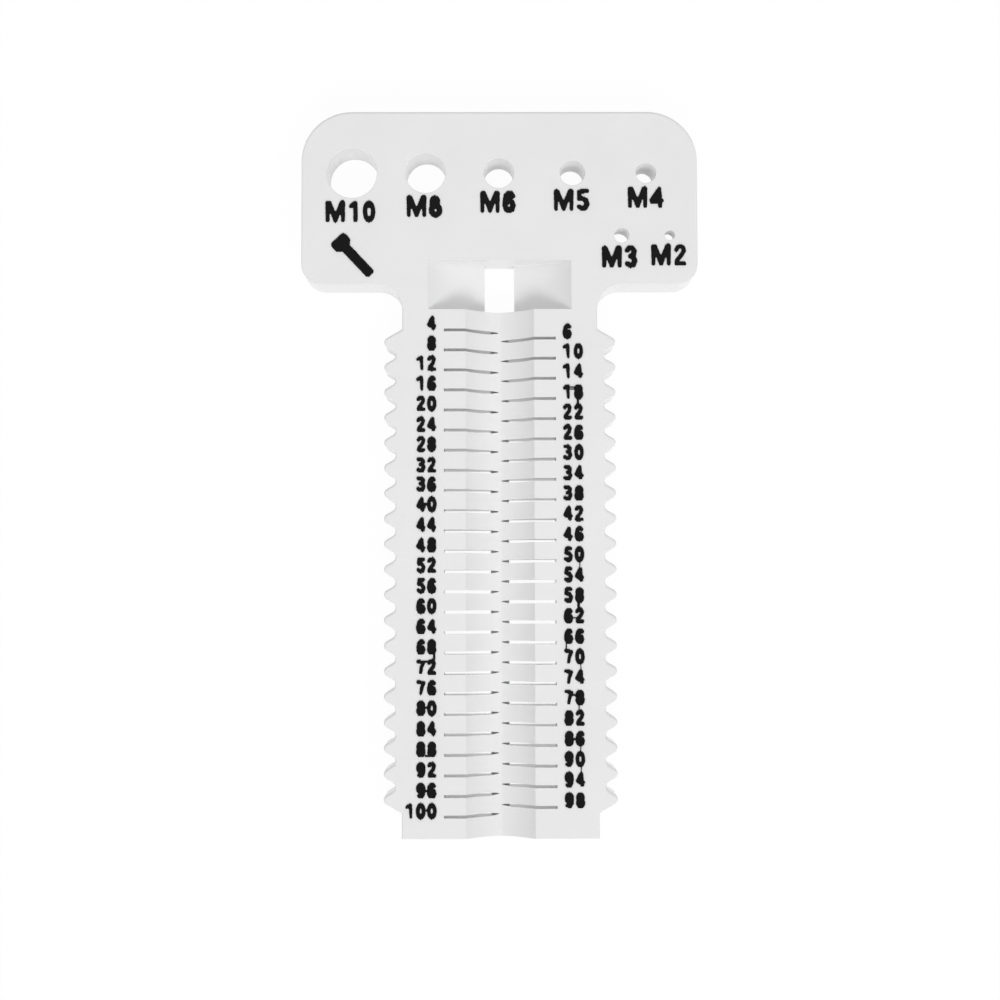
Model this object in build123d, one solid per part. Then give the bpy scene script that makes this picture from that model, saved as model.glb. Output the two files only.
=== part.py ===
from build123d import *

import math
import os

# A flat gauge for bolts. Its holes tell a bolt's size, and its slit scale tells a bolt's length.
# Sizes are in millimetres. X runs across the plate, Y along it towards the head, and Z up out of its face.
# The scale starts at the lower wall of the head pocket, and heights on the plate are counted from there.

# Plate
thickness = 9.0
edge_bevel = 0.35

# Head
head_width = 78.9
head_height = 34.9
head_top = 39.8
head_corner = 10.0
wing_corner = 4.3
neck_fillet = 5.0

# Shank
shank_width = 38.7
tail_length = 4.25

# Through holes of the head, from the left: the main row, and the small ones under its right end
main_bores = (10.0, 8.0, 6.0, 5.0, 4.0)
main_row_drop = 12.45
main_row_inset_left = 10.05
main_row_inset_right = 10.25
small_bores = (3.0, 2.0)
small_row_rise = 9.9
small_row_inset = 5.55
small_row_pitch = 9.6

# Wider relief that the two small holes open into from the back
relief_diameter = 4.2
relief_depth = 5.0

# Pocket for a bolt's head, and the slot through its floor
pocket_radius = 20.0
pocket_depth = 6.0
pocket_length = 9.8
slot_width = 6.0

# V-groove for a bolt's shank
groove_width = 13.6
groove_depth = 5.0
groove_round = 1.2

# Slits of the length scale, one comb on each side of the groove
scale_length = 100.0
scale_step = 4.0
left_first = 4.0
right_first = 6.0
slit_width = 0.4
slit_land = 4.3
slit_inner_face = 0.45
slit_inner_back = 1.85

# Thread-form teeth of the long sides
thread_pitch = 5.0
thread_angle = 60.0
thread_round = 1.04
root_stand = 1.3
first_crest = 6.6
plain_end = 4.0

# How far a cutter reaches past the face it leaves by
cutter_run_out = 1.0

# Places that follow from the sizes above
shank_end = -scale_length - tail_length
wing_bottom = head_top - head_height
origin_height = (head_top + shank_end) / 2
node_name = "gauge_plate"


def centred(width, low, high):
    """A rectangle on the centre line, between two heights."""
    return Pos(0, (low + high) / 2) * Rectangle(width, high - low)


def head_face():
    """The head's outline, with large corners at its top and small ones under its wings."""
    half = head_width / 2
    corners = ((-half, head_top), (half, head_top), (half, wing_bottom), (-half, wing_bottom))
    radii = (head_corner, head_corner, wing_corner, wing_corner)
    return make_face(FilletPolyline(*corners, radius=radii, close=True))


def neck_corner(side):
    """The hollow corner between a wing and the shank."""
    wall = side * shank_width / 2
    corner = (wall, wing_bottom)
    on_wing = (wall + side * neck_fillet, wing_bottom)
    on_wall = (wall, wing_bottom - neck_fillet)
    centre = (wall + side * neck_fillet, wing_bottom - neck_fillet)
    middle = (centre[0] - side * neck_fillet * math.sqrt(0.5), centre[1] + neck_fillet * math.sqrt(0.5))
    border = Line(corner, on_wing) + ThreePointArc(on_wing, middle, on_wall) + Line(on_wall, corner)
    return make_face(border)


def crest_heights():
    """The heights of the tooth crests, as many as the shank has room for."""
    flank_drop = math.tan(math.radians(thread_angle / 2))
    foot = flank_drop * (root_stand + sharp_height() - thread_round)
    room = -shank_end - first_crest - foot - plain_end
    return [-first_crest - thread_pitch * n for n in range(math.floor(room / thread_pitch) + 1)]


def sharp_height():
    """The height of the thread form before its crests and roots are rounded."""
    return thread_pitch / 2 / math.tan(math.radians(thread_angle / 2))


def tooth_rack(side):
    """The teeth of one long side: sharp flanks, then one radius at every crest and root."""
    wall = shank_width / 2
    sharp_root = wall + root_stand - thread_round
    sharp_crest = sharp_root + sharp_height()
    crests = crest_heights()
    foot = (sharp_crest - wall) * math.tan(math.radians(thread_angle / 2))
    points = [(side * wall, crests[0] + foot)]
    for height in crests[:-1]:
        points.append((side * sharp_crest, height))
        points.append((side * sharp_root, height - thread_pitch / 2))
    points.append((side * sharp_crest, crests[-1]))
    points.append((side * wall, crests[-1] - foot))
    flanks = FilletPolyline(*points, radius=thread_round)
    inside = wall - root_stand
    back = Polyline(points[-1], (side * inside, points[-1][1]), (side * inside, points[0][1]), points[0])
    return make_face(flanks + back)


def plate():
    """The whole outline as a plate, with the outer edge of its face eased all round."""
    outline = head_face() + centred(shank_width, shank_end, wing_bottom + head_corner)
    for side in (-1, 1):
        outline += neck_corner(side)
        outline += tooth_rack(side)
    body = extrude(outline, thickness)
    return chamfer(body.edges().group_by(Axis.Z)[-1], edge_bevel)


def bore(diameter, x, y):
    """A cutter for one through hole."""
    return Pos(x, y, thickness / 2) * Cylinder(diameter / 2, thickness + 2 * cutter_run_out)


def relief(x, y):
    """A cutter for the wider back part of a small hole."""
    length = relief_depth + cutter_run_out
    return Pos(x, y, relief_depth - length / 2) * Cylinder(relief_diameter / 2, length)


def bores():
    """The cutters of the two rows of holes."""
    row_y = head_top - main_row_drop
    first_x = main_row_inset_left - head_width / 2
    last_x = head_width / 2 - main_row_inset_right
    pitch = (last_x - first_x) / (len(main_bores) - 1)
    cutters = [bore(size, first_x + pitch * n, row_y) for n, size in enumerate(main_bores)]
    small_y = wing_bottom + small_row_rise
    small_x = head_width / 2 - small_row_inset - small_row_pitch * (len(small_bores) - 1)
    cutters += [bore(size, small_x + small_row_pitch * n, small_y) for n, size in enumerate(small_bores)]
    cutters += [relief(small_x + small_row_pitch * n, small_y) for n in range(len(small_bores))]
    return cutters


def pocket():
    """The scoop for a bolt's head, a round trough across the plate between two flat walls."""
    axis_height = thickness - pocket_depth + pocket_radius
    return Pos(0, pocket_length / 2, axis_height) * Rot(90, 0, 0) * Cylinder(pocket_radius, pocket_length)


def slot():
    """The slot through the pocket's floor."""
    height = thickness + 2 * cutter_run_out
    return Pos(0, pocket_length / 2, thickness / 2) * Box(slot_width, pocket_length, height)


def groove_slope():
    """The angle between the groove's slopes and the face, in radians."""
    return math.atan2(groove_depth, groove_width / 2)


def groove_floor():
    """The height of the groove's rounded floor above the back."""
    return thickness - groove_depth + groove_round * (1 / math.cos(groove_slope()) - 1)


def groove():
    """The V-groove, from the pocket to the end of the shank."""
    rise = cutter_run_out
    spread = groove_width / 2 * (1 + rise / groove_depth)
    left = (-spread, thickness + rise)
    right = (spread, thickness + rise)
    bottom = (0, thickness - groove_depth)
    slopes = FilletPolyline(left, bottom, right, radius=groove_round)
    section = make_face(slopes + Line(right, left))
    length = pocket_length / 2 - shank_end + cutter_run_out
    return Pos(0, pocket_length / 2, 0) * extrude(Rot(90, 0, 0) * section, length)


def slit(side, height):
    """A cutter for one slit: upright at its outer end, slanted under the groove at its inner end."""
    outer = side * (groove_width / 2 + slit_land)
    face_end = side * slit_inner_face
    back_end = side * slit_inner_back
    low = -cutter_run_out
    high = thickness + cutter_run_out
    outer_wall = ((outer, low), (outer, high))
    inner_wall = ((face_end, high), (face_end, groove_floor()), (back_end, 0), (back_end, low))
    section = make_face(Polyline(*outer_wall, *inner_wall, close=True))
    return Pos(0, height + slit_width / 2, 0) * extrude(Rot(90, 0, 0) * section, slit_width)


def slits():
    """The cutters of the two combs of the scale."""
    cutters = []
    for side, first in ((-1, left_first), (1, right_first)):
        count = math.floor((scale_length - first) / scale_step) + 1
        cutters += [slit(side, -first - scale_step * n) for n in range(count)]
    return cutters


def gauge_plate():
    """The finished gauge, moved so that its origin is under the middle of its outline."""
    cutters = bores() + [pocket(), slot(), groove()] + slits()
    return Pos(0, -origin_height, 0) * (plate() - cutters)


os.makedirs("parts", exist_ok=True)
gauge = gauge_plate()
gauge.label = node_name
export_step(gauge, f"parts/{node_name}.step")
print(node_name, "volume", round(gauge.volume), "solids", len(gauge.solids()))
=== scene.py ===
import sys

import logging
import math
import random
from collections.abc import Iterable, Mapping, Sequence
from dataclasses import dataclass, field
from enum import Enum

import bpy
from bpy.types import ID, Material, Mesh, Node, NodeSocket, NodeTree, Object, World
from mathutils import Matrix, Vector


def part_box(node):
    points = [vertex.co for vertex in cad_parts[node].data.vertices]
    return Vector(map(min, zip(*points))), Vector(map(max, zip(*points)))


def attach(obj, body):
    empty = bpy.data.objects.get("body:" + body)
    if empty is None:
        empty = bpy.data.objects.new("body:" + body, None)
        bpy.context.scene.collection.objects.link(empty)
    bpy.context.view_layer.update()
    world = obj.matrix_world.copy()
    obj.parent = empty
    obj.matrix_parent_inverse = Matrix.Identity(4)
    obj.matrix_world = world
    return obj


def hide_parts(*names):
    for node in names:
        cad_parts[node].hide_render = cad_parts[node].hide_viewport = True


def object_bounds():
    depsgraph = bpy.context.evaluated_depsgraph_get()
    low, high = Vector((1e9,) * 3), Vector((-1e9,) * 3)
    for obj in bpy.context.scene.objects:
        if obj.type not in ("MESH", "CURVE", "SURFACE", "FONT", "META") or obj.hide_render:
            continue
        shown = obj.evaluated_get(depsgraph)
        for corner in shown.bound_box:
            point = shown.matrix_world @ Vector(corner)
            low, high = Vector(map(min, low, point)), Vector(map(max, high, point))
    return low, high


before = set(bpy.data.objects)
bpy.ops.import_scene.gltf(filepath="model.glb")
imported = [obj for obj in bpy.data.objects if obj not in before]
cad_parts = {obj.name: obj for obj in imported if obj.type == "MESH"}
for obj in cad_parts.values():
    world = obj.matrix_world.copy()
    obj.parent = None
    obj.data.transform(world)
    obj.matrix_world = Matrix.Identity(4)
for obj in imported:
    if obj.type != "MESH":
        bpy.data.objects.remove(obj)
CAD_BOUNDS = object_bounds()

# Millimetres to the frame's metres
MM = 0.001
# Points closer than this, in metres, become one
WELD = 1e-7
PLATE_NODE = "gauge_plate"
BODY = "root"
LOG = logging.getLogger("gauge")

# The head's top edge above the scale's zero, which is the lower wall of the head pocket, in millimetres
HEAD_TOP = 39.8
ZERO_HEIGHT = CAD_BOUNDS[1].y / MM - HEAD_TOP
# The CAD plate's lowest and highest corner in millimetres, then the same with Y from the scale's zero
PLATE_BOX = [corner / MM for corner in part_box(PLATE_NODE)]
PLATE_SHIFT = Vector((0.0, HEAD_TOP - PLATE_BOX[1].y, 0.0))
PLATE_LOW, PLATE_HIGH = (corner + PLATE_SHIFT for corner in PLATE_BOX)
THICKNESS = PLATE_HIGH.z - PLATE_LOW.z


def place(x: float, y: float, z: float = 0.0) -> Vector:
    """Give the frame's point, in metres, for a point in millimetres with Y from the scale's zero."""
    return Vector((x, y + ZERO_HEIGHT, z)) * MM


class Side(Enum):
    """The two long sides of the gauge, by the sign of X."""

    LEFT = -1
    RIGHT = 1


class NodeBuilder:
    """Adds nodes to one tree and joins them as it goes."""

    prefix = "ShaderNode"

    def __init__(self, tree: NodeTree) -> None:
        """Keep the tree to fill, and empty it."""
        self.tree = tree
        tree.nodes.clear()

    def add(self, kind: str, inputs: Mapping[str | int, object] | None = None, **settings: object) -> Node:
        """Add one node.

        Args:
            kind: The node's type name, or what follows the tree's own prefix in it.
            inputs: Values, sockets or nodes for its inputs, by name or place. A node gives its first output.
            settings: Properties of the node itself.

        Returns:
            The new node.
        """
        node = self.tree.nodes.new(kind if "Node" in kind else self.prefix + kind)
        for name, value in settings.items():
            setattr(node, name, value)
        for key, value in (inputs or {}).items():
            if isinstance(value, Node):
                value = value.outputs[0]
            if isinstance(value, NodeSocket):
                self.tree.links.new(value, node.inputs[key])
            else:
                node.inputs[key].default_value = value
        return node

    def math(self, operation: str, *values: object) -> Node:
        """Add one math node, with its numbers, sockets or nodes in order."""
        return self.add("ShaderNodeMath", dict(enumerate(values)), operation=operation)


class GeometryTree(NodeBuilder):
    """A geometry node group with named inputs, which ends in Realize Instances and Set Material."""

    prefix = "GeometryNode"

    def __init__(self, name: str, inputs: Mapping[str, str]) -> None:
        """Make the group and its sockets.

        Args:
            name: The group's name.
            inputs: The kind of each named input.
        """
        super().__init__(bpy.data.node_groups.new(name, "GeometryNodeTree"))
        for label, kind in {"Geometry": "Geometry", **inputs, "Material": "Material"}.items():
            self.tree.interface.new_socket(label, in_out="INPUT", socket_type=f"NodeSocket{kind}")
        self.tree.interface.new_socket("Geometry", in_out="OUTPUT", socket_type="NodeSocketGeometry")
        self.inputs = self.add("NodeGroupInput").outputs

    def attribute(self, name: str, kind: str = "FLOAT") -> Node:
        """Read a named attribute of the given kind."""
        return self.add("InputNamedAttribute", {"Name": name}, data_type=kind)

    def close(self, geometry: Node) -> "GeometryTree":
        """End the tree.

        Args:
            geometry: The node whose geometry is handed on.

        Returns:
            The tree itself.
        """
        real = self.add("RealizeInstances", {"Geometry": geometry})
        dress = {"Geometry": real, "Material": self.inputs["Material"]}
        self.add("NodeGroupOutput", {"Geometry": self.add("SetMaterial", dress)})
        return self

    def put_on(self, piece: Object, values: Mapping[str, object]) -> None:
        """Put the tree on an object as a modifier.

        Args:
            piece: The object.
            values: A value for each named input.
        """
        modifier = piece.modifiers.new(self.tree.name, "NODES")
        modifier.node_group = self.tree
        for item in self.tree.interface.items_tree:
            if item.in_out == "INPUT" and item.name in values:
                modifier[item.identifier] = values[item.name]


def new_object(name: str, data: ID) -> Object:
    """Link a mesh, a light or a camera to the scene as an object at the origin.

    Args:
        name: The object's name.
        data: Its mesh, light or camera.

    Returns:
        The object.
    """
    piece = bpy.data.objects.new(name, data)
    bpy.context.scene.collection.objects.link(piece)
    return piece


def solidified(piece: Object) -> Object:
    """Turn an object's modifiers into a plain mesh.

    Args:
        piece: The object, with its modifiers.

    Returns:
        The same object, with the result as its mesh.
    """
    bpy.context.view_layer.update()
    graph = bpy.context.evaluated_depsgraph_get()
    result = bpy.data.meshes.new_from_object(
        piece.evaluated_get(graph), preserve_all_data_layers=True, depsgraph=graph
    )
    rough = piece.data
    piece.modifiers.clear()
    piece.data = result
    result.name = piece.name
    bpy.data.meshes.remove(rough)
    return piece


def report(piece: Object, note: str) -> None:
    """Log one finished piece, with a note that says what it is."""
    piece.data.calc_loop_triangles()
    LOG.info("%s: %s, %d triangles", piece.name, note, len(piece.data.loop_triangles))


def give(mesh: Mesh, name: str, kind: str, values: list[float]) -> None:
    """Give each point of a mesh a value, as an attribute of the given name and kind."""
    mesh.attributes.new(name, kind, "POINT").data.foreach_set("value", values)


def bar(name: str, rings: list[list[Vector]]) -> Object:
    """Make a closed bar through rings of points.

    Args:
        name: The object's name.
        rings: The rings in order, each with as many points.

    Returns:
        The bar, with its normals outward.
    """
    count = len(rings[0])
    points = [point for ring in rings for point in ring]
    faces = [
        (first + n, first + (n + 1) % count, first + count + (n + 1) % count, first + count + n)
        for first in range(0, len(points) - count, count)
        for n in range(count)
    ]
    faces += [tuple(reversed(range(count))), tuple(range(len(points) - count, len(points)))]
    mesh = bpy.data.meshes.new(name)
    mesh.from_pydata(points, [], faces)
    wedges = [(points[a], points[b], points[c]) for a, *rest in faces for b, c in zip(rest, rest[1:])]
    if sum(a.dot(b.cross(c)) for a, b, c in wedges) < 0:
        mesh.flip_normals()
    return new_object(name, mesh)


def prism(name: str, section: list[tuple[float, float]], low: float, high: float) -> Object:
    """Make a bar between two heights on the gauge, with a section of (x, z) points, all in millimetres."""
    return bar(name, [[place(x, y, z) for x, z in section] for y in (low, high)])


@dataclass(frozen=True)
class Corner:
    """One corner of an outline: its place in millimetres, its radius, and the steps of its arc."""

    x: float
    y: float
    radius: float = 0.0
    steps: int = 1


@dataclass(frozen=True)
class ThreadTeeth:
    """The thread-form teeth of a long side, in millimetres."""

    pitch: float = 5.0
    flank_angle: float = 60.0
    rounding: float = 1.04
    root_stand: float = 1.3
    first_crest: float = 6.6
    plain_end: float = 4.0
    arc_steps: int = 9

    def corners(self, side: Side, wall: float, end: float) -> list[Corner]:
        """Give the corners of one row of teeth, from its foot at the head to its foot at the end.

        Args:
            side: The long side that carries the teeth.
            wall: The distance of the shank's side from the centre line.
            end: The height of the shank's end.

        Returns:
            The corners in order.
        """
        lean = math.tan(math.radians(self.flank_angle / 2))
        sharp = self.pitch / 2 / lean
        root = wall + self.root_stand - self.rounding
        foot = (root + sharp - wall) * lean
        room = -end - self.first_crest - foot - self.plain_end
        crests = [-self.first_crest - self.pitch * n for n in range(math.floor(room / self.pitch) + 1)]
        way = side.value
        row = [Corner(way * wall, crests[0] + foot)]
        for crest in crests:
            row.append(Corner(way * (root + sharp), crest, self.rounding, self.arc_steps))
            row.append(Corner(way * root, crest - self.pitch / 2, self.rounding, self.arc_steps))
        row[-1] = Corner(way * wall, crests[-1] - foot)
        return row


@dataclass
class Rods:
    """Straight round or flattened rods, each a line of points with a size at every point."""

    points: list[Vector] = field(default_factory=list)
    sizes: list[float] = field(default_factory=list)
    edges: list[tuple[int, int]] = field(default_factory=list)

    def add(self, line: Iterable[tuple[Vector, float]]) -> None:
        """Add one rod.

        Args:
            line: Its points, each with the rod's size there.
        """
        first = len(self.points)
        for point, size in line:
            self.points.append(point)
            self.sizes.append(size)
        self.edges += [(n, n + 1) for n in range(first, len(self.points) - 1)]

    def built(self, name: str, sides: int, width: float, depth: float, finish: Material | None) -> Object:
        """Build all rods as one plain mesh.

        Args:
            name: The object's name.
            sides: The number of flats round a rod.
            width: A rod's half width, before its size.
            depth: A rod's half depth, before its size.
            finish: Its material.

        Returns:
            The finished object.
        """
        mesh = bpy.data.meshes.new(name)
        mesh.from_pydata(self.points, self.edges, [])
        give(mesh, "rod_size", "FLOAT", self.sizes)
        piece = new_object(name, mesh)
        values = {"Sides": sides, "Half Width": width, "Half Depth": depth, "Material": finish}
        rod_tree().put_on(piece, values)
        return solidified(piece)


@dataclass(frozen=True)
class Bore:
    """One through hole of the head, and the lower left corner of the mark under it, in millimetres."""

    mark: str
    diameter: float
    x: float
    y: float
    mark_x: float
    mark_y: float
    relief: float = 0.0


@dataclass(frozen=True)
class BoreRows:
    """The two rows of through holes, with slightly rounded rims. Two open into a relief at the back."""

    bores: tuple[Bore, ...] = (
        Bore("M10", 10.0, -29.4, 27.35, -34.65, 17.37),
        Bore("M8", 8.0, -14.75, 27.35, -18.48, 18.45),
        Bore("M6", 6.0, -0.1, 27.35, -3.85, 19.3),
        Bore("M5", 5.0, 14.55, 27.35, 10.83, 19.66),
        Bore("M4", 4.0, 29.2, 27.35, 25.55, 20.2),
        Bore("M3", 3.0, 24.3, 14.8, 20.35, 8.2, 4.2),
        Bore("M2", 2.0, 33.9, 14.8, 30.15, 8.6, 4.2),
    )
    relief_depth: float = 5.0
    rim_round: float = 0.15
    rim_turn: float = 75.0
    rim_steps: int = 4
    run_out: float = 0.05
    step_half: float = 0.01

    def cutter(self) -> Rods:
        """Give the rods that cut the holes, wider at the face and the back."""
        rods = Rods()
        for bore in self.bores:
            half = bore.diameter / 2
            line = [(THICKNESS - z, radius) for z, radius in reversed(self.rim(bore.relief / 2 or half))]
            if bore.relief:
                line.append((self.relief_depth - self.step_half, bore.relief / 2))
                line.append((self.relief_depth + self.step_half, half))
            line += self.rim(half)
            rods.add([(place(bore.x, bore.y, z), radius * MM) for z, radius in line])
        return rods

    def rim(self, half: float) -> list[tuple[float, float]]:
        """Give the end of a cutter that rounds the rim at the face.

        Args:
            half: The hole's radius.

        Returns:
            Heights above the back, each with the cutter's radius there.
        """
        line = []
        for step in range(self.rim_steps + 1):
            turn = math.radians(self.rim_turn) * step / self.rim_steps
            rise = self.rim_round * math.sin(turn)
            spread = self.rim_round * (1 - math.cos(turn))
            line.append((THICKNESS - self.rim_round + rise, half + spread))
        height, radius = line[-1]
        above = THICKNESS + self.run_out
        return [*line, (above, radius + (above - height) * math.tan(turn))]


def rod_tree() -> GeometryTree:
    """Give the tree that turns lines with a size into round or flattened rods."""
    tree = GeometryTree("printed_rods", {"Sides": "Int", "Half Width": "Float", "Half Depth": "Float"})
    line = tree.add("MeshToCurve", {"Mesh": tree.inputs["Geometry"]})
    upright = tree.add("SetCurveNormal", {"Curve": line}, mode="Z_UP")
    circle = tree.add("CurvePrimitiveCircle", {"Resolution": tree.inputs["Sides"], "Radius": 1.0})
    half_sizes = {"X": tree.inputs["Half Width"], "Y": tree.inputs["Half Depth"], "Z": 1.0}
    size = tree.add("ShaderNodeCombineXYZ", half_sizes)
    flat = tree.add("Transform", {"Geometry": circle, "Scale": size})
    swept = {"Curve": upright, "Profile Curve": flat, "Scale": tree.attribute("rod_size"), "Fill Caps": True}
    rods = tree.add("CurveToMesh", swept)
    return tree.close(tree.add("SetShadeSmooth", {"Geometry": rods}))


def plate_tree() -> GeometryTree:
    """Give the tree that rounds an outline's corners, fills it and makes it a plate."""
    tree = GeometryTree("rounded_plate", {"Thickness": "Float"})
    line = tree.add("MeshToCurve", {"Mesh": tree.inputs["Geometry"]})
    corners = {"Count": tree.attribute("corner_steps", "INT"), "Radius": tree.attribute("corner_radius")}
    rounded = tree.add("FilletCurve", {"Curve": line, **corners}, mode="POLY")
    back = tree.add("FillCurve", {"Curve": rounded}, mode="NGONS")
    up = tree.add("ShaderNodeCombineXYZ", {"Z": tree.inputs["Thickness"]})
    raised = tree.add("ExtrudeMesh", {"Mesh": back, "Offset": up, "Individual": False}, mode="FACES")
    turned = tree.add("FlipFaces", {"Mesh": back})
    both = tree.add("JoinGeometry", {"Geometry": raised})
    tree.tree.links.new(turned.outputs[0], both.inputs[0])
    return tree.close(tree.add("MergeByDistance", {"Geometry": both, "Distance": WELD}))


def comb_tree() -> GeometryTree:
    """Give the tree that repeats one slit cutter down the scale."""
    tree = GeometryTree("slit_comb", {"Count": "Int", "First": "Float", "Step": "Float"})
    first, step = (tree.add("ShaderNodeCombineXYZ", {"Y": tree.inputs[name]}) for name in ("First", "Step"))
    row = {"Count": tree.inputs["Count"], "Start Location": first, "Offset": step}
    places = tree.add("MeshLine", row, mode="OFFSET")
    slits = {"Points": places, "Instance": tree.inputs["Geometry"]}
    return tree.close(tree.add("InstanceOnPoints", slits))


@dataclass(frozen=True)
class HeadPocket:
    """The scoop for a bolt's head and the slot through it, in millimetres."""

    radius: float = 20.0
    depth: float = 6.0
    length: float = 9.8
    slot_width: float = 6.0
    arc_steps: int = 40
    run_out: float = 1.0

    def cutters(self) -> list[Object]:
        """Give the cutters of the scoop and the slot."""
        axis = THICKNESS - self.depth + self.radius
        reach = math.acos((self.radius - self.depth - self.run_out) / self.radius)
        angles = [reach * (2 * n / self.arc_steps - 1) for n in range(self.arc_steps + 1)]
        arc = [(self.radius * math.sin(turn), axis - self.radius * math.cos(turn)) for turn in angles]
        half, low = self.slot_width / 2, -self.run_out
        slot = [(-half, low), (half, low), (half, THICKNESS), (-half, THICKNESS)]
        return [prism("cut_pocket", arc, 0.0, self.length), prism("cut_slot", slot, 0.0, self.length)]


@dataclass(frozen=True)
class ShankGroove:
    """The V-groove for a bolt's shank, with slightly hollow slopes, in millimetres and degrees."""

    width: float = 13.6
    rim_slope: float = 51.0
    floor_slope: float = 21.0
    rounding: float = 1.5
    slope_steps: int = 14
    floor_steps: int = 5
    run_out: float = 1.0

    def half_section(self) -> list[tuple[float, float]]:
        """Give the right half of the section, from the rim to the middle of the floor."""
        rim, foot = math.radians(self.rim_slope), math.radians(self.floor_slope)
        bow = (self.width / 2 - self.rounding * math.sin(foot)) / (math.sin(rim) - math.sin(foot))
        line = []
        for n in range(self.slope_steps + 1):
            turn = rim + (foot - rim) * n / self.slope_steps
            x = self.width / 2 - bow * (math.sin(rim) - math.sin(turn))
            line.append((x, THICKNESS - bow * (math.cos(turn) - math.cos(rim))))
        height = line[-1][1]
        for n in range(1, self.floor_steps + 1):
            turn = foot * (1 - n / self.floor_steps)
            fall = self.rounding * (math.cos(turn) - math.cos(foot))
            line.append((self.rounding * math.sin(turn), height - fall))
        return line

    @property
    def floor(self) -> float:
        """The height of the rounded floor above the back."""
        return self.half_section()[-1][1]

    def cutter(self, high: float) -> Object:
        """Give the groove's cutter.

        Args:
            high: The height of its upper end, inside the pocket.

        Returns:
            The closed bar.
        """
        right = self.half_section()
        left = [(-x, z) for x, z in reversed(right[:-1])]
        spread = self.width / 2 + self.run_out / math.tan(math.radians(self.rim_slope))
        rim = THICKNESS + self.run_out
        section = [(spread, rim), *right, *left, (-spread, rim)]
        return prism("cut_groove", section, PLATE_LOW.y - self.run_out, high)


@dataclass(frozen=True)
class Comb:
    """One comb of slits: its first length, how low it was printed, and how much it is stretched."""

    first: float
    drop: float
    stretch: float


@dataclass(frozen=True)
class SlitScale:
    """The two combs of slits that are the length scale, in millimetres.

    The lower wall of each slit falls away towards the back, and each slit narrows to its inner tip.
    """

    combs: Mapping[Side, Comb] = field(
        default_factory=lambda: {Side.LEFT: Comb(4.0, 0.13, 0.9982), Side.RIGHT: Comb(6.0, -0.22, 1.0036)}
    )
    length: float = 100.0
    step: float = 4.0
    width: float = 0.6
    back_spread: float = 0.2
    land: float = 4.3
    inner_face: float = 0.3
    inner_back: float = 1.85
    tip_width: float = 0.18
    run_out: float = 1.0

    def lengths(self, side: Side) -> list[int]:
        """Give the lengths that one comb shows, from the head down."""
        first = round(self.combs[side].first)
        return list(range(first, round(self.length) + 1, round(self.step)))

    def cutter(self, side: Side, groove: ShankGroove) -> Object:
        """Give one comb's cutter.

        Args:
            side: The comb's side.
            groove: The groove that the slits run into.

        Returns:
            The comb of bars as a plain mesh.
        """
        low, high = -self.run_out, THICKNESS + self.run_out
        lean = (self.inner_back - self.inner_face) / groove.floor
        fall = self.back_spread / THICKNESS
        half, tip = self.width / 2, self.tip_width / 2
        foot = half + fall * (THICKNESS - low)
        rings = []
        for x, bottom, upper, lower in (
            (groove.width / 2 + self.land, low, half, foot),
            (self.inner_back + lean * self.run_out, low, half, foot),
            (self.inner_face, groove.floor, tip, tip),
        ):
            top = lower - fall * (high - bottom)
            corners = ((-lower, bottom), (upper, bottom), (upper, high), (-top, high))
            rings.append([place(side.value * x, y, z) for y, z in corners])
        slit = bar(f"cut_slits_{side.name.lower()}", rings)
        comb, lengths = self.combs[side], self.lengths(side)
        first = -(lengths[0] * comb.stretch + comb.drop) * MM
        step = -self.step * comb.stretch * MM
        comb_tree().put_on(slit, {"Count": len(lengths), "First": first, "Step": step})
        return solidified(slit)


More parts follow.
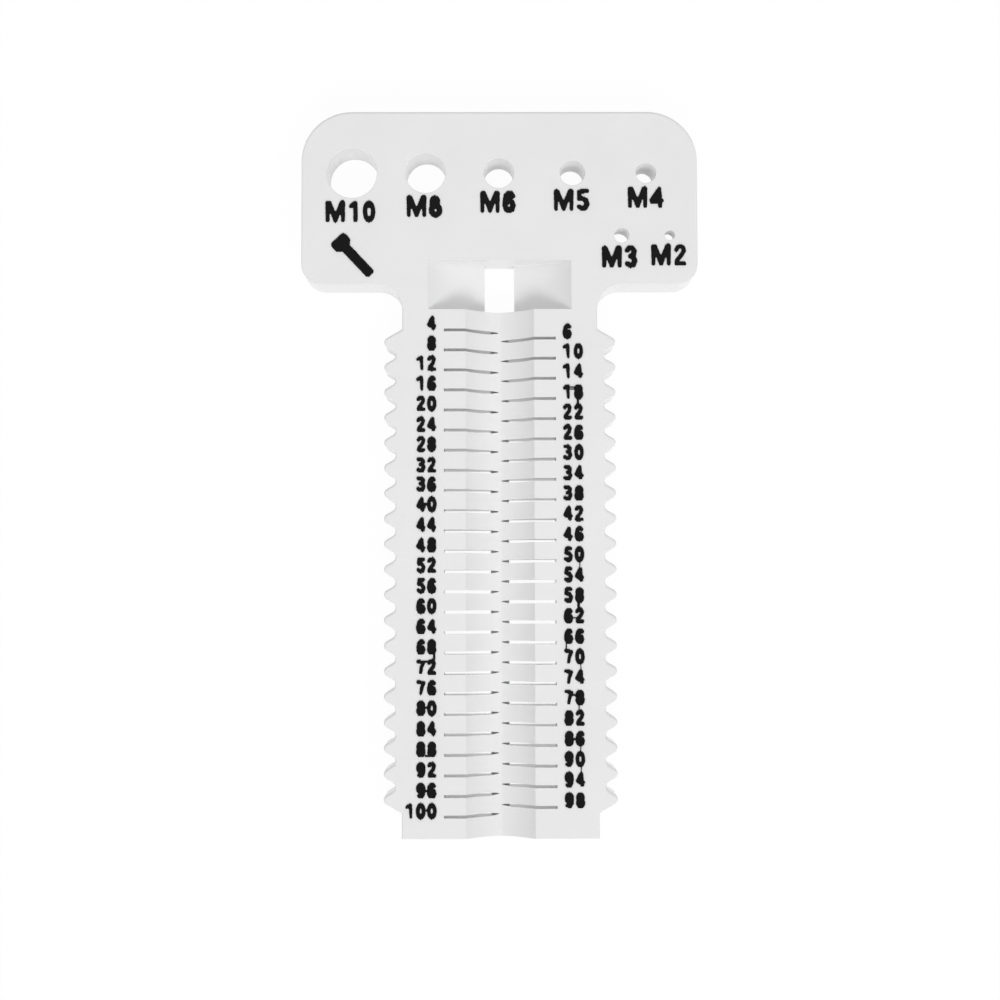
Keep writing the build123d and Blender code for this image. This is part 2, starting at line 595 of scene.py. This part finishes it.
@dataclass
class GaugePlate:
    """The white printed plate, in millimetres."""

    finish: Material
    head_height: float = 34.9
    head_corner: float = 10.0
    wing_corner: float = 4.3
    neck_fillet: float = 5.0
    shank_width: float = 38.7
    edge_round: float = 0.6
    tail_side_share: float = 0.2
    edge_steps: int = 4
    large_arc_steps: int = 20
    small_arc_steps: int = 12
    bore_sides: int = 96
    crease_angle: float = 32.0
    teeth: ThreadTeeth = ThreadTeeth()
    bores: BoreRows = BoreRows()
    pocket: HeadPocket = HeadPocket()
    groove: ShankGroove = ShankGroove()
    scale: SlitScale = SlitScale()

    def half_outline(self, side: Side) -> list[Corner]:
        """Give one half of the outline, from the middle of the top to the shank's end.

        Args:
            side: The half's side.

        Returns:
            The corners in order.
        """
        way = side.value
        wing = HEAD_TOP - self.head_height
        wall = self.shank_width / 2
        return [
            Corner(way * PLATE_HIGH.x, HEAD_TOP, self.head_corner, self.large_arc_steps),
            Corner(way * PLATE_HIGH.x, wing, self.wing_corner, self.small_arc_steps),
            Corner(way * wall, wing, self.neck_fillet, self.small_arc_steps),
            *self.teeth.corners(side, wall, PLATE_LOW.y),
            Corner(way * wall, PLATE_LOW.y),
        ]

    def blank(self) -> Object:
        """Build the plate with its rounded rims and nothing cut out."""
        corners = self.half_outline(Side.LEFT) + self.half_outline(Side.RIGHT)[::-1]
        count = len(corners)
        mesh = bpy.data.meshes.new("printed_plate")
        edges = [(n, (n + 1) % count) for n in range(count)]
        mesh.from_pydata([place(corner.x, corner.y) for corner in corners], edges, [])
        give(mesh, "corner_radius", "FLOAT", [corner.radius * MM for corner in corners])
        give(mesh, "corner_steps", "INT", [corner.steps for corner in corners])
        piece = new_object("printed_plate", mesh)
        plate_tree().put_on(piece, {"Thickness": THICKNESS * MM, "Material": self.finish})
        solidified(piece)
        self.weigh_rims(piece.data)
        rims = piece.modifiers.new("rims", "BEVEL")
        rims.width = self.edge_round * MM
        rims.segments = self.edge_steps
        rims.limit_method = "WEIGHT"
        rims.use_clamp_overlap = False
        return solidified(piece)

    def weigh_rims(self, mesh: Mesh) -> None:
        """Give each rim edge its share of the rounding. Rims that look to the tail are sharper.

        Args:
            mesh: The square-edged plate.
        """
        walls: dict[tuple[int, int], Vector] = {}
        flats: set[tuple[int, int]] = set()
        for face in mesh.polygons:
            if abs(face.normal.z) > abs(face.normal.x) + abs(face.normal.y):
                flats.update(face.edge_keys)
            else:
                walls.update((key, face.normal) for key in face.edge_keys)
        weights = mesh.attributes.new("bevel_weight_edge", "FLOAT", "EDGE")
        for edge in mesh.edges:
            if edge.key in flats and edge.key in walls:
                headward = (1.0 + walls[edge.key].y) / 2
                share = self.tail_side_share
                weights.data[edge.index].value = share + (1 - share) * headward

    def cutters(self) -> list[Object]:
        """Give everything that is cut out of the plate."""
        return [
            *self.pocket.cutters(),
            self.groove.cutter(self.pocket.length / 2),
            *(self.scale.cutter(side, self.groove) for side in Side),
            self.bores.cutter().built("cut_bores", self.bore_sides, 1.0, 1.0, None),
        ]

    def build(self) -> None:
        """Build and dress the plate, in place of its CAD node."""
        piece = self.blank()
        cutters = self.cutters()
        for cutter in cutters:
            cut = piece.modifiers.new(cutter.name, "BOOLEAN")
            cut.operation = "DIFFERENCE"
            cut.solver = "EXACT"
            cut.object = cutter
        solidified(piece)
        for cutter in cutters:
            bpy.data.objects.remove(cutter)
        mesh = piece.data
        mesh.materials.clear()
        mesh.materials.append(self.finish)
        mesh.polygons.foreach_set("material_index", [0] * len(mesh.polygons))
        mesh.shade_smooth()
        mesh.set_sharp_from_angle(angle=math.radians(self.crease_angle))
        weighted = piece.modifiers.new("flat_faces", "WEIGHTED_NORMAL")
        weighted.keep_sharp = True
        solidified(piece)
        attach(piece, BODY)
        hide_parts(PLATE_NODE)
        report(piece, "white plate with teeth, holes, pocket, groove and slits")


Stroke = Sequence[tuple[float, float, float]]
RING_STEPS = 20


def ring(x: float, y: float, across: float, up: float, fatness: float) -> Stroke:
    """Give a closed oval stroke round a middle, with its half width, half height and fatness."""
    turns = [math.tau * n / RING_STEPS for n in range(RING_STEPS + 1)]
    return [(x + across * math.sin(turn), y + up * math.cos(turn), fatness) for turn in turns]


class Glyph:
    """One digit or letter, drawn by the middle lines of its strokes.

    Numbers are hundredths of its cell, with X from -100 to 100 and Y from 0 to 100. A line's point is
    (x, y, fatness), where a fatness of 100 is left out, and an oval is the five numbers that ring takes.
    """

    def __init__(self, *lines: tuple[tuple[int, ...], ...], ovals: tuple[tuple[int, ...], ...] = ()) -> None:
        """Turn the hundredths into strokes, the ovals first."""
        self.strokes: list[Stroke] = [ring(*(n / 100 for n in oval)) for oval in ovals]
        self.strokes += [[tuple(n / 100 for n in (*point, 100)[:3]) for point in line] for line in lines]


GLYPHS: dict[str, Glyph] = {
    "0": Glyph(((-30, 88, 90), (30, 88, 90)), ((-30, 12, 90), (30, 12, 90)), ovals=((0, 50, 105, 53, 95),)),
    "1": Glyph(((-105, 84, 90), (-50, 92, 95), (8, 98, 95)), ((10, 98, 95), (20, 50, 84), (30, 2, 70))),
    "2": Glyph(
        ((-95, 86, 92), (-50, 100, 95), (35, 102), (85, 82, 95), (55, 56, 90)),
        ((55, 56, 90), (-60, 20), (-75, 2, 105), (10, 0), (100, 0, 86)),
    ),
    "3": Glyph(
        ((-95, 100, 90), (10, 100), (75, 84), (50, 56), (-25, 54, 85)),
        ((50, 55), (95, 30), (50, 4), (-10, 0), (-100, 8, 95)),
    ),
    "4": Glyph(
        ((25, 94), (-35, 70), (-100, 38, 95), (-40, 28, 95), (100, 27, 90)), ((30, 95), (42, 50), (62, 7)),
        ((5, 72, 95), (-20, 44), (30, 40)),
    ),
    "5": Glyph(
        ((85, 100, 86), (-60, 99, 95), (-75, 64, 95), (30, 60, 95), (95, 34, 95)),
        ((95, 34, 95), (55, 2), (-10, -2), (-95, 10, 90)),
    ),
    "6": Glyph(
        ((80, 87, 95), (40, 98), (-10, 98), (-65, 82, 105), (-95, 50)),
        ((-95, 50), (-95, 25), (-60, 5), (0, 0), (65, 5)),
        ((65, 5), (100, 25, 95), (80, 45, 90), (20, 55, 85), (-40, 50, 95)), ((-35, 30, 95), (35, 30, 95)),
    ),
    "7": Glyph(((-100, 100, 86), (0, 96, 90), (95, 90, 90)), ((90, 90, 92), (25, 50, 88), (-10, 3, 74))),
    "8": Glyph(
        ((-45, 2), (45, 2)), ((-30, 27), (30, 27)), ((-75, 50), (75, 50)), ((-30, 74), (30, 74)),
        ovals=((0, 74, 82, 23, 105), (0, 28, 97, 26, 100)),
    ),
    "9": Glyph(
        ((90, 65), (80, 25), (20, 0), (-75, 5, 90)), ((-30, 70), (30, 55)),
        ovals=((-5, 68, 95, 32, 100),),
    ),
}

# The glyphs of the marks under the holes, which are larger and drawn more clearly
MARK_GLYPHS: dict[str, Glyph] = {
    "M": Glyph(
        ((-100, 0, 90), (-100, 50, 98), (-95, 96, 125)), ((-85, 96, 125), (-38, 50, 110), (0, 1)),
        ((0, 1), (38, 50, 110), (85, 97, 125)), ((95, 98, 125), (100, 50, 98), (100, 0, 90)),
    ),
    "0": Glyph(
        ((-25, 88, 95), (0, 84, 90), (25, 88, 95)), ((-25, 12, 95), (0, 16, 90), (25, 12, 95)),
        ovals=((0, 50, 100, 50, 105),),
    ),
    "1": Glyph(((-150, 81, 90), (-90, 88), (30, 98)), ((35, 98), (55, 50), (57, 0, 95))),
    "2": Glyph(
        ((-100, 80), (-62, 95), (6, 100), (77, 92), (92, 74)),
        ((92, 74), (46, 53), (-77, 19, 105), (-92, 2), (105, 1)),
    ),
    "3": Glyph(
        ((-95, 88, 110), (-45, 100, 110), (35, 100, 115), (90, 84, 120), (70, 65, 120)),
        ((70, 65, 120), (-10, 54, 110), (66, 49, 120), (97, 28, 125), (66, 7, 120)),
        ((66, 7, 120), (-13, 2, 115), (-95, 12, 110)),
    ),
    "4": Glyph(
        ((55, 100, 90), (-27, 64), (-100, 34, 95), (-86, 24), (100, 31)),
        ((50, 96, 95), (60, 50, 110), (66, 2)), ((10, 70), (-10, 45, 110), (30, 45, 110)),
    ),
    "5": Glyph(
        ((105, 102, 95), (-85, 98), (-90, 58), (-8, 59), (69, 49, 110)),
        ((69, 49, 120), (100, 25, 125), (54, 6, 120), (-23, 2, 115), (-95, 12, 105)),
    ),
    "6": Glyph(
        ((95, 83, 105), (47, 99, 110), (-16, 100, 110), (-78, 84, 120), (-98, 54, 120)),
        ((-98, 54, 120), (-98, 28, 120), (-60, 7, 125), (0, 2, 120), (72, 8, 125)),
        ((72, 8, 125), (100, 28, 125), (72, 48, 120), (10, 55, 120), (-60, 46, 125)),
        ((-50, 72, 110), (25, 72, 105)),
    ),
    "8": Glyph(
        ((-92, 30), (-92, 76)), ((-50, 48, 110), (40, 48, 110)), ((-40, 80), (10, 80)),
        ovals=((-16, 78, 75, 20, 105), (-2, 27, 97, 26, 128)),
    ),
}


@dataclass(frozen=True)
class LetterSize:
    """The outer size of a glyph and the half width of its strokes, in millimetres."""

    width: float
    height: float
    pen: float


@dataclass
class PrintedInk:
    """Black lettering, printed layer by layer as short rods that stand a little proud of the face.

    The cap's shape gives places along a rod's end, each with the rod's size there.
    """

    finish: Material
    seed: int
    layer: float = 0.2
    overlap: float = 1.12
    stand: float = 0.28
    closing: float = 0.16
    shortest: float = 0.12
    cap: float = 0.16
    cap_share: float = 0.4
    cap_shape: tuple[tuple[float, float], ...] = ((0.0, 0.35), (0.3, 0.78), (1.0, 1.0))
    wobble: float = 0.035
    shift: float = 0.03
    thinnest: float = 0.97
    fattest: float = 1.05
    disc_spacing: float = 0.08
    sides: int = 8
    rods: Rods = field(default_factory=Rods)

    def __post_init__(self) -> None:
        """Start the draws of the strokes' small unevenness."""
        self.chance = random.Random(self.seed)

    def ink(self, strokes: Iterable[Stroke]) -> None:
        """Print some strokes, each a line of (x, y, half width) in millimetres.

        Args:
            strokes: The strokes, which melt together where they meet.
        """
        discs = [disc for stroke in strokes for disc in self.discs(stroke)]
        low = min(y - radius for _, y, radius in discs)
        high = max(y + radius for _, y, radius in discs)
        for row in range(math.ceil(low / self.layer), math.floor(high / self.layer) + 1):
            for left, right in self.spans(discs, row * self.layer):
                self.rod(left, right, row * self.layer)

    def discs(self, stroke: Stroke) -> list[tuple[float, float, float]]:
        """Cover one stroke with discs.

        Args:
            stroke: The stroke's points, in millimetres.

        Returns:
            The discs as (x, y, radius).
        """
        result = []
        for (x0, y0, r0), (x1, y1, r1) in zip(stroke, stroke[1:]):
            count = max(1, round(math.hypot(x1 - x0, y1 - y0) / self.disc_spacing))
            for n in range(count + 1):
                t = n / count
                result.append((x0 + (x1 - x0) * t, y0 + (y1 - y0) * t, r0 + (r1 - r0) * t))
        return result

    def spans(self, discs: list[tuple[float, float, float]], y: float) -> list[tuple[float, float]]:
        """Find what one layer prints.

        Args:
            discs: The discs that cover the strokes.
            y: The layer's height.

        Returns:
            The left and right end of each run of black, in order.
        """
        cuts = []
        for x, middle, radius in discs:
            if abs(y - middle) < radius:
                half = math.sqrt(radius**2 - (y - middle) ** 2)
                cuts.append((x - half, x + half))
        runs: list[list[float]] = []
        for left, right in sorted(cuts):
            if runs and left - runs[-1][1] < self.closing:
                runs[-1][1] = max(runs[-1][1], right)
            else:
                runs.append([left, right])
        return [(left, right) for left, right in runs if right - left > self.shortest]

    def rod(self, left: float, right: float, y: float) -> None:
        """Add one printed run, with rounded ends.

        Args:
            left: Its left end.
            right: Its right end.
            y: Its height.
        """
        left += self.chance.uniform(-self.wobble, self.wobble)
        right += self.chance.uniform(-self.wobble, self.wobble)
        cap = min(self.cap, (right - left) * self.cap_share)
        line = [(left + cap * along, size) for along, size in self.cap_shape]
        line += [(right - cap * along, size) for along, size in reversed(self.cap_shape)]
        self.rods.add([(place(x, y, THICKNESS), size) for x, size in line])

    def build(self, name: str, note: str) -> None:
        """Build the printed strokes as one piece.

        Args:
            name: The piece's name.
            note: What it is, in words.
        """
        width = self.layer / 2 * self.overlap * MM
        piece = self.rods.built(name, self.sides, width, self.stand * MM, self.finish)
        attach(piece, BODY)
        report(piece, note)

    def glyph(self, glyph: Glyph, x: float, bottom: float, size: LetterSize) -> None:
        """Print one digit or letter.

        Args:
            glyph: The digit or letter.
            x: The middle of its cell.
            bottom: The height of its lowest edge.
            size: Its size.
        """
        pen = size.pen
        swell = self.chance.uniform(self.thinnest, self.fattest)
        half, rise = size.width / 2 - pen, size.height - 2 * pen
        strokes = []
        for stroke in glyph.strokes:
            aside, up = (self.chance.uniform(-self.shift, self.shift) for _ in "xy")
            line = [(x + half * u + aside, bottom + pen + rise * v + up, fat) for u, v, fat in stroke]
            strokes.append([(across, height, pen * fat * swell) for across, height, fat in line])
        self.ink(strokes)


# Plastic strings between neighbouring digits, each from (x, y) to (x, y) with its half width, in millimetres
STRINGS: dict[Side, tuple[tuple[float, ...], ...]] = {
    Side.LEFT: (
        (-13.01, -68.2, -13.04, -69.8, 0.24), (-15.0, -38.75, -14.0, -38.7, 0.28),
        (-14.8, -69.7, -13.9, -69.7, 0.18), (-14.8, -78.65, -14.1, -78.65, 0.18),
        (-14.8, -88.05, -14.1, -88.05, 0.16), (-14.8, -94.9, -14.1, -94.9, 0.18),
        (-14.8, -98.75, -14.0, -98.75, 0.18),
    ),
    Side.RIGHT: (
        (13.6, -15.6, 14.8, -15.6, 0.12), (13.6, -16.0, 14.8, -16.0, 0.14),
        (15.47, -17.8, 15.43, -19.4, 0.26), (15.67, -50.2, 15.64, -51.7, 0.1),
        (15.42, -58.1, 15.35, -59.85, 0.28), (14.35, -61.2, 15.15, -61.2, 0.18),
        (12.94, -66.3, 12.92, -67.7, 0.14), (15.75, -70.2, 15.8, -71.7, 0.1),
        (14.05, -76.25, 15.2, -76.4, 0.28), (15.4, -78.3, 15.37, -79.5, 0.11),
        (14.35, -84.85, 15.15, -84.85, 0.18), (15.67, -86.4, 15.67, -87.2, 0.1),
        (15.77, -90.3, 15.78, -91.55, 0.1),
    ),
}

# How much lower than its neighbours a number was printed, in millimetres
NUDGES = {10: -0.08, 14: -0.1, 22: -0.06, 24: 0.15, 28: 0.08, 30: -0.06, 32: 0.18}


@dataclass(frozen=True)
class ScaleNumbers:
    """The numbers beside one comb of slits, in millimetres. The lower ones sit a little lower."""

    finish: Material
    side: Side
    scale: SlitScale
    digit_pitch: float
    inner_digit: float
    drop_most: float
    drop_gain: float
    size: LetterSize = LetterSize(1.93, 3.14, 0.42)

    def build(self) -> None:
        """Build the column of numbers."""
        way = self.side.value
        ink = PrintedInk(self.finish, seed=11 + way)
        for length in self.scale.lengths(self.side):
            digits = str(length) if self.side is Side.RIGHT else str(length)[::-1]
            for n, digit in enumerate(digits):
                x = way * (self.inner_digit + self.digit_pitch * n)
                drop = min(self.drop_most, self.drop_gain * length)
                ink.glyph(GLYPHS[digit], x, -length - drop - NUDGES.get(length, 0.0), self.size)
        for x0, y0, x1, y1, pen in STRINGS[self.side]:
            ink.ink([((x0, y0, pen), (x1, y1, pen))])
        ink.build(f"scale_numbers_{self.side.name.lower()}", "numbers of the length scale")


@dataclass(frozen=True)
class BoreMarks:
    """The marks under the head's holes, in millimetres."""

    finish: Material
    rows: BoreRows
    letter: LetterSize = LetterSize(3.95, 4.42, 0.45)
    digit_height: float = 4.4
    digit_pen: float = 0.45
    letter_to_digit: float = 3.8
    digit_pitch: float = 2.92
    digit_width: float = 2.52
    odd_widths: Mapping[str, float] = field(
        default_factory=lambda: {"1": 1.8, "2": 2.45, "3": 2.4, "4": 2.95}
    )

    def build(self) -> None:
        """Build all the marks as one piece."""
        ink = PrintedInk(self.finish, seed=5)
        for bore in self.rows.bores:
            x = bore.mark_x + self.letter.width / 2
            ink.glyph(MARK_GLYPHS["M"], x, bore.mark_y, self.letter)
            for n, digit in enumerate(bore.mark[1:]):
                width = self.odd_widths.get(digit, self.digit_width)
                size = LetterSize(width, self.digit_height, self.digit_pen)
                middle = x + self.letter_to_digit + self.digit_pitch * n
                ink.glyph(MARK_GLYPHS[digit], middle, bore.mark_y, size)
        ink.build("bore_marks", "thread sizes under the holes")


@dataclass(frozen=True)
class BoltSign:
    """The small bolt drawn beside the largest hole's mark, in millimetres."""

    finish: Material
    neck_x: float = -30.72
    neck_y: float = 12.42
    angle: float = -46.8
    head_length: float = 2.5
    head_width: float = 3.85
    shank_length: float = 7.6
    shank_width: float = 1.98
    head_pen: float = 0.8
    shank_pen: float = 0.5
    neck_fillet: float = 0.35
    strokes: int = 9

    def bar(self, start: float, end: float, width: float, pen: float) -> list[Stroke]:
        """Hatch one bar of the sign with strokes along it.

        Args:
            start: Its start along the bolt, from the neck.
            end: Its end along the bolt.
            width: Its width.
            pen: The strokes' half width.

        Returns:
            The strokes.
        """
        turn = math.radians(self.angle)
        along = Vector((math.cos(turn), math.sin(turn)))
        across = Vector((-along.y, along.x))
        neck = Vector((self.neck_x, self.neck_y))
        lines = []
        for n in range(self.strokes):
            aside = (width / 2 - pen) * (2 * n / (self.strokes - 1) - 1)
            first = neck + along * (start + pen) + across * aside
            last = neck + along * (end - pen) + across * aside
            lines.append(((first.x, first.y, pen), (last.x, last.y, pen)))
        return lines

    def build(self) -> None:
        """Build the sign."""
        ink = PrintedInk(self.finish, seed=3)
        head = self.bar(-self.head_length, 0.0, self.head_width, self.head_pen)
        shank = self.bar(-self.head_length / 2, self.shank_length, self.shank_width, self.shank_pen)
        neck_width = self.shank_width + 2 * self.neck_fillet
        neck = self.bar(-self.head_length / 2, self.neck_fillet, neck_width, self.shank_pen)
        ink.ink(head + shank + neck)
        ink.build("bolt_sign", "small bolt sign")


def fresh_nodes(owner: Material | World) -> NodeBuilder:
    """Give a material or a world nodes of its own, and the builder for them."""
    owner.use_nodes = True
    return NodeBuilder(owner.node_tree)


def rgba(level: float, colour: tuple[float, float, float] = (1.0, 1.0, 1.0)) -> tuple[float, ...]:
    """Give a colour at some level, or the grey of that level."""
    return (*(c * level for c in colour), 1.0)


@dataclass(frozen=True)
class PrintedPlastic:
    """A matt printed plastic, with its layer lines across the gauge. Upright walls may be smoother."""

    name: str
    colour: tuple[float, float, float]
    roughness: float
    shine: float = 0.5
    wall_roughness: float | None = None
    wall_limits: tuple[float, float] = (0.15, 0.4)
    layer: float = 0.2
    line_depth: float = 0.006
    line_share: float = 0.35
    uneven_share: float = 3.0
    uneven_scale: tuple[float, float, float] = (50.0, 2600.0, 50.0)
    cloud_scale: float = 90.0
    mottle: float = 0.03

    def made(self) -> Material:
        """Make the material.

        Returns:
            The material, on Object coordinates.
        """
        material = bpy.data.materials.new(self.name)
        build = fresh_nodes(material)
        spot = build.add("TexCoord").outputs["Object"]
        height = build.add("SeparateXYZ", {0: spot}).outputs["Y"]
        wave = build.math("SINE", build.math("MULTIPLY", height, 2 * math.pi / (self.layer * MM)))
        stretched = build.add("Mapping", {"Vector": spot, "Scale": self.uneven_scale})
        uneven = build.add("TexNoise", {"Vector": stretched, "Scale": 1.0, "Detail": 2.0})
        wave = build.math("MULTIPLY", wave, self.line_share)
        lines = build.math("MULTIPLY_ADD", uneven, self.uneven_share, wave)
        depth = self.line_depth * MM
        bump = build.add("Bump", {"Height": lines, "Strength": 1.0, "Distance": depth})
        cloudy = build.add("TexNoise", {"Vector": spot, "Scale": self.cloud_scale, "Detail": 3.0})
        dark, pale = (rgba(level, self.colour) for level in (1 - self.mottle, 1 + self.mottle))
        tint = build.add("Mix", {"Factor": cloudy, "A": dark, "B": pale}, data_type="RGBA")
        look = {
            "Base Color": tint.outputs["Result"],
            "Specular IOR Level": self.shine,
            "Roughness": self.roughness if self.wall_roughness is None else self.wall_shine(build),
            "Normal": bump,
        }
        build.add("OutputMaterial", {"Surface": build.add("BsdfPrincipled", look)})
        return material

    def wall_shine(self, build: NodeBuilder) -> Node:
        """Make upright walls smoother than the printed face.

        Args:
            build: The material's node builder.

        Returns:
            The node that gives the roughness.
        """
        facing = build.add("TexCoord").outputs["Normal"]
        upward = build.add("SeparateXYZ", {0: facing}).outputs["Z"]
        limits = {"From Min": self.wall_limits[0], "From Max": self.wall_limits[1]}
        levels = {"To Min": self.wall_roughness, "To Max": self.roughness}
        return build.add("MapRange", {"Value": build.math("ABSOLUTE", upward), **limits, **levels})


@dataclass(frozen=True)
class Lamp:
    """A soft light from far away. Angles are in degrees, the azimuth from +X towards +Y."""

    name: str
    azimuth: float
    elevation: float
    strength: float
    spread: float = 24.0

    def hang(self) -> None:
        """Put the lamp in the scene."""
        light = bpy.data.lights.new(self.name, "SUN")
        light.energy = self.strength
        light.angle = math.radians(self.spread)
        turn, lift = math.radians(self.azimuth), math.radians(self.elevation)
        level = math.cos(lift)
        towards = Vector((level * math.cos(turn), level * math.sin(turn), math.sin(lift)))
        new_object(self.name, light).rotation_euler = towards.to_track_quat("Z", "Y").to_euler()


@dataclass(frozen=True)
class NearLamp:
    """A weak round lamp close above the scale, in millimetres, which lights the gauge's middle most."""

    name: str = "near_lamp"
    x: float = 5.0
    y: float = -42.0
    above_back: float = 115.0
    radius: float = 35.0
    power: float = 0.021

    def hang(self) -> None:
        """Put the lamp in the scene."""
        light = bpy.data.lights.new(self.name, "POINT")
        light.energy = self.power
        light.shadow_soft_size = self.radius * MM
        lamp = new_object(self.name, light)
        lamp.location = place(self.x, self.y, self.above_back)
        lamp.visible_camera = False


@dataclass(frozen=True)
class PhotoCamera:
    """The photograph's camera, above the face. Angles are in degrees, distances in millimetres."""

    x: float = -1.90
    y: float = -55.39
    above_face: float = 326.44
    tilt: float = -3.0574
    roll_side: float = 0.3211
    turn: float = 0.1334
    focal_share: float = 1.65699
    sensor: float = 36.0
    clip: tuple[float, float] = (0.01, 20.0)

    def mount(self) -> None:
        """Put the camera in the scene and make it the scene's own."""
        data = bpy.data.cameras.new("photo_camera")
        data.sensor_width = self.sensor
        data.lens = self.focal_share * self.sensor
        data.clip_start, data.clip_end = self.clip
        camera = new_object("photo_camera", data)
        to_camera = Matrix.Identity(3)
        for axis, angle in (("X", self.tilt), ("Y", self.roll_side), ("Z", self.turn)):
            to_camera = to_camera @ Matrix.Rotation(math.radians(angle), 3, axis)
        spot = place(self.x, self.y, THICKNESS + self.above_face)
        camera.matrix_world = Matrix.Translation(spot) @ to_camera.transposed().to_4x4()
        bpy.context.scene.camera = camera


@dataclass(frozen=True)
class Studio:
    """The pale floor, the white surround and the lamps."""

    floor_reach: float = 3.0
    floor_gap: float = 0.00002
    floor_colour: float = 0.4
    floor_lift: float = 0.393
    floor_glow: float = 0.96
    surround: float = 0.61
    lamps: tuple[Lamp | NearLamp, ...] = (
        Lamp("key_lamp", 268.0, 46.0, 0.87),
        Lamp("second_key_lamp", 300.0, 42.0, 0.57),
        Lamp("right_lamp", 3.0, 42.0, 0.3),
        Lamp("left_lamp", 172.0, 42.0, 0.25),
        Lamp("head_lamp", 88.0, 23.0, 0.18),
        NearLamp(),
    )

    def floor(self) -> None:
        """Lay the floor just under the gauge's back. It looks white and lights the gauge softly."""
        reach = self.floor_reach
        level = PLATE_LOW.z * MM - self.floor_gap
        corners = [(x * reach, y * reach, level) for x, y in ((-1, -1), (1, -1), (1, 1), (-1, 1))]
        mesh = bpy.data.meshes.new("floor")
        mesh.from_pydata(corners, [], [(0, 1, 2, 3)])
        material = bpy.data.materials.new("pale_floor")
        build = fresh_nodes(material)
        path = build.add("LightPath").outputs
        seen = build.math("MAXIMUM", path["Is Camera Ray"], path["Is Glossy Ray"])
        both: dict[int, object] = {0: seen}
        shades = ((self.floor_colour, self.floor_lift), (1.0 - self.floor_glow, self.floor_glow))
        for n, (grey, strength) in enumerate(shades, start=1):
            matt = build.add("BsdfDiffuse", {"Color": rgba(grey)})
            glow = build.add("Emission", {"Strength": strength})
            both[n] = build.add("AddShader", {0: matt, 1: glow})
        build.add("OutputMaterial", {"Surface": build.add("MixShader", both)})
        mesh.materials.append(material)
        new_object("floor", mesh)

    def light(self) -> None:
        """Set the surround, which is white to the camera, and hang the lamps."""
        world = bpy.data.worlds.new("white_surround")
        bpy.context.scene.world = world
        build = fresh_nodes(world)
        seen = build.add("LightPath").outputs["Is Camera Ray"]
        strength = build.math("MULTIPLY_ADD", seen, 1.0 - self.surround, self.surround)
        glow = build.add("Background", {"Strength": strength})
        build.add("OutputWorld", {"Surface": glow})
        for lamp in self.lamps:
            lamp.hang()

    def build(self) -> None:
        """Build the floor, the light and the camera."""
        self.floor()
        self.light()
        PhotoCamera().mount()
        bpy.context.scene.view_settings.view_transform = "Standard"


def main() -> None:
    """Build the gauge, its lettering and the studio."""
    logging.basicConfig(level=logging.INFO, format="%(name)s: %(message)s", stream=sys.stdout)
    white = PrintedPlastic("white_printed_plastic", (0.82,) * 3, roughness=0.55, wall_roughness=0.2).made()
    black = PrintedPlastic("black_printed_plastic", (0.013,) * 3, roughness=0.8, shine=0.1).made()
    plate = GaugePlate(white)
    plate.build()
    ScaleNumbers(black, Side.LEFT, plate.scale, 2.12, 13.5, drop_most=0.39, drop_gain=1.0).build()
    ScaleNumbers(black, Side.RIGHT, plate.scale, 2.18, 13.4, drop_most=0.34, drop_gain=0.0052).build()
    BoreMarks(black, plate.bores).build()
    BoltSign(black).build()
    Studio().build()


if __name__ == "__main__":
    main()
